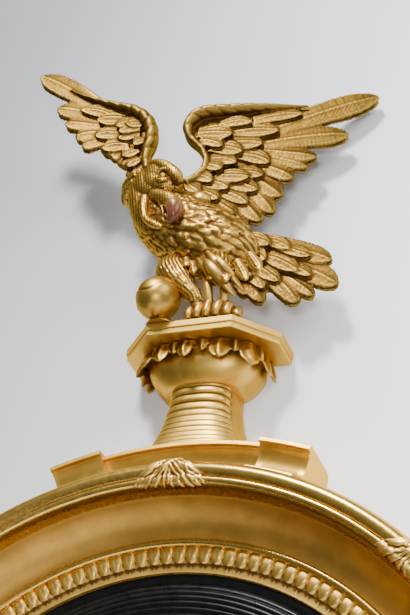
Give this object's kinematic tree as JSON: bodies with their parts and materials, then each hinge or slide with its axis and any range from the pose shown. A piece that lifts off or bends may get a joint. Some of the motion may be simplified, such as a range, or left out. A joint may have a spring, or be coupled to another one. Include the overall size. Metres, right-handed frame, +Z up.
{
  "type": "girandole mirror",
  "caption": "Round convex wall mirror in a gilded moulded ring with an ebonised reeded slip, an eagle on a leafed console on top and swivelling candle arms at the sides.",
  "frame": {"origin": "centre of the round frame, on the wall plane", "axes": "+X to the right seen from the front, +Y back into the wall, +Z up to the eagle"},
  "size_m": [0.8212, 0.1475, 1.1915],
  "materials": {
    "burnished_gold": "water-gilded wood, burnished, with dark toning in the hollows",
    "carved_gold": "gilded carved wood, worn on the high edges and dark in the cuts",
    "ebonised": "ebonised wood, polished, reeded",
    "silvered_glass": "convex silvered plate",
    "pine": "aged bare pine",
    "iron": "dark aged iron",
    "brass": "lacquered cast brass, aged"
  },
  "bodies": {
    "root": {"arm_bracket_left": "brass", "arm_bracket_right": "brass", "astragal_ring": "burnished_gold", "backboard": "pine", "backboard_screw_1": "iron", "backboard_screw_2": "iron", "backboard_screw_3": "iron", "backboard_screw_4": "iron", "batten_screw_1": "iron", "batten_screw_2": "iron", "bracket_screw_left": "brass", "bracket_screw_right": "brass", "carcase_ring": "burnished_gold", "carved_ball": "carved_gold", "crest_batten": "pine", "crest_block_left": "burnished_gold", "crest_block_right": "burnished_gold", "crest_collar": "carved_gold", "crest_cup": "burnished_gold", "crest_neck": "burnished_gold", "crest_rail": "burnished_gold", "crest_slab": "burnished_gold", "eagle_body": "carved_gold", "eagle_head": "carved_gold", "eagle_leg_left": "carved_gold", "eagle_leg_right": "carved_gold", "eagle_pin": "iron", "eagle_tail": "carved_gold", "eagle_wing_left": "carved_gold", "eagle_wing_right": "carved_gold", "glazing_block_1": "pine", "glazing_block_2": "pine", "glazing_block_3": "pine", "glazing_block_4": "pine", "hanger_screw_left": "brass", "hanger_screw_right": "brass", "hanger_strap_left": "brass", "hanger_strap_right": "brass", "leaf_tie_1": "carved_gold", "leaf_tie_2": "carved_gold", "leaf_tie_3": "carved_gold", "leaf_tie_4": "carved_gold", "leaf_tie_5": "carved_gold", "leaf_tie_6": "carved_gold", "leaf_tie_7": "carved_gold", "leaf_tie_8": "carved_gold", "leaf_tip_band": "burnished_gold", "mirror_glass": "silvered_glass", "outer_moulding": "burnished_gold", "reeded_slip": "ebonised", "wing_dowel_left": "pine", "wing_dowel_right": "pine"},
    "arm_left": {"candle_arm_left": "brass", "drip_pan_left": "brass"},
    "nozzle_left": {"candle_nozzle_left": "brass"},
    "ring_left": {"hanger_ring_left": "brass"},
    "arm_right": {"candle_arm_right": "brass", "drip_pan_right": "brass"},
    "nozzle_right": {"candle_nozzle_right": "brass"},
    "ring_right": {"hanger_ring_right": "brass"}
  },
  "joints": [
    {"name": "arm_left_swivel", "type": "hinge", "parent": "root", "child": "arm_left", "pos_m": [-0.30807, -0.045, -0.15211], "axis": [0, 0, 1], "range_deg": [-45, 45]},
    {"name": "arm_right_swivel", "type": "hinge", "parent": "root", "child": "arm_right", "pos_m": [0.30807, -0.045, -0.15211], "axis": [0, 0, 1], "range_deg": [-45, 45]},
    {"name": "nozzle_left_lift", "type": "slide", "parent": "arm_left", "child": "nozzle_left", "axis": [0, 0, 1], "range_m": [0, 0.03]},
    {"name": "nozzle_right_lift", "type": "slide", "parent": "arm_right", "child": "nozzle_right", "axis": [0, 0, 1], "range_m": [0, 0.03]},
    {"name": "ring_left_swing", "type": "hinge", "parent": "root", "child": "ring_left", "pos_m": [-0.2301, -0.0073, 0.17977], "axis": [1, 0, 0], "range_deg": [-8, 175]},
    {"name": "ring_right_swing", "type": "hinge", "parent": "root", "child": "ring_right", "pos_m": [0.2301, -0.0073, 0.17977], "axis": [1, 0, 0], "range_deg": [-8, 175]}
  ]
}
